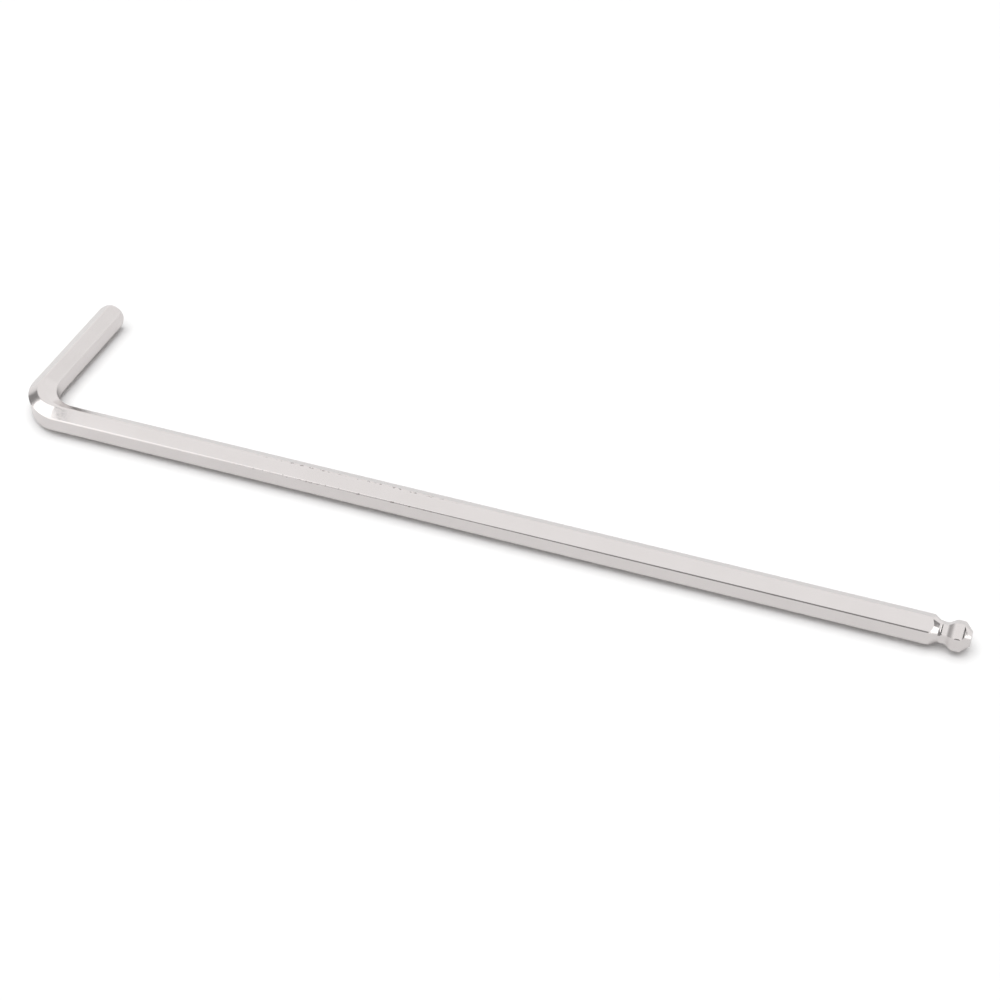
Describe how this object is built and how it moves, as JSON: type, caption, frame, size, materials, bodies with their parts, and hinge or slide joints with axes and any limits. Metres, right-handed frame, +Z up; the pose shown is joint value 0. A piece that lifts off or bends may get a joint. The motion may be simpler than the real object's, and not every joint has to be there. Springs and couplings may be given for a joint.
{
  "type": "hex key",
  "caption": "Long-arm L-shaped hex key with a plain chamfered short end and a ball end on the long arm, lying flat with a corner of its hexagon up.",
  "frame": {"origin": "centre of the bounding box on the plane that the key rests on", "axes": "+X along the long arm towards the ball end, +Y along the short arm towards its end face, +Z up through a corner of the hexagon"},
  "size_m": [0.15, 0.029, 0.0045],
  "materials": {
    "plated_steel": "satin plating on steel"
  },
  "bodies": {
    "root": {"hex_key": "plated_steel"}
  },
  "joints": []
}
